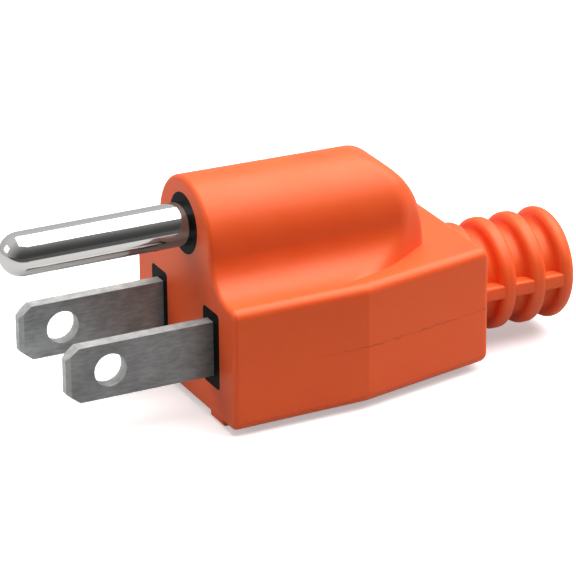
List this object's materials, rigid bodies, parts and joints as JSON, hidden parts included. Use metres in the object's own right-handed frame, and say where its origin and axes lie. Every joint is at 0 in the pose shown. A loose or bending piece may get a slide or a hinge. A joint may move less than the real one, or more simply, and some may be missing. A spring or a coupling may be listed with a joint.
{
  "type": "bonding plug",
  "caption": "Moulded orange earth bonding plug with flat blades, a round earth pin under a hood, and a grooved strain relief.",
  "frame": {"origin": "on the mating face, midway between the blades at the height of their centres", "axes": "-Y along the contacts, +Y along the lead, +Z towards the earth pin, +X towards the line blade"},
  "size_m": [0.0246, 0.0665, 0.0255],
  "materials": {
    "orange_pvc": "semi-matt soft PVC, moulded",
    "black_plastic": "matt, moulded",
    "plated_strip": "satin nickel plate on stamped strip",
    "polished_plate": "bright nickel plate, polished"
  },
  "bodies": {
    "root": {"outer_body": "orange_pvc", "blade_carrier": "black_plastic", "line_blade": "plated_strip", "neutral_blade": "plated_strip", "earth_pin": "polished_plate"}
  },
  "joints": []
}
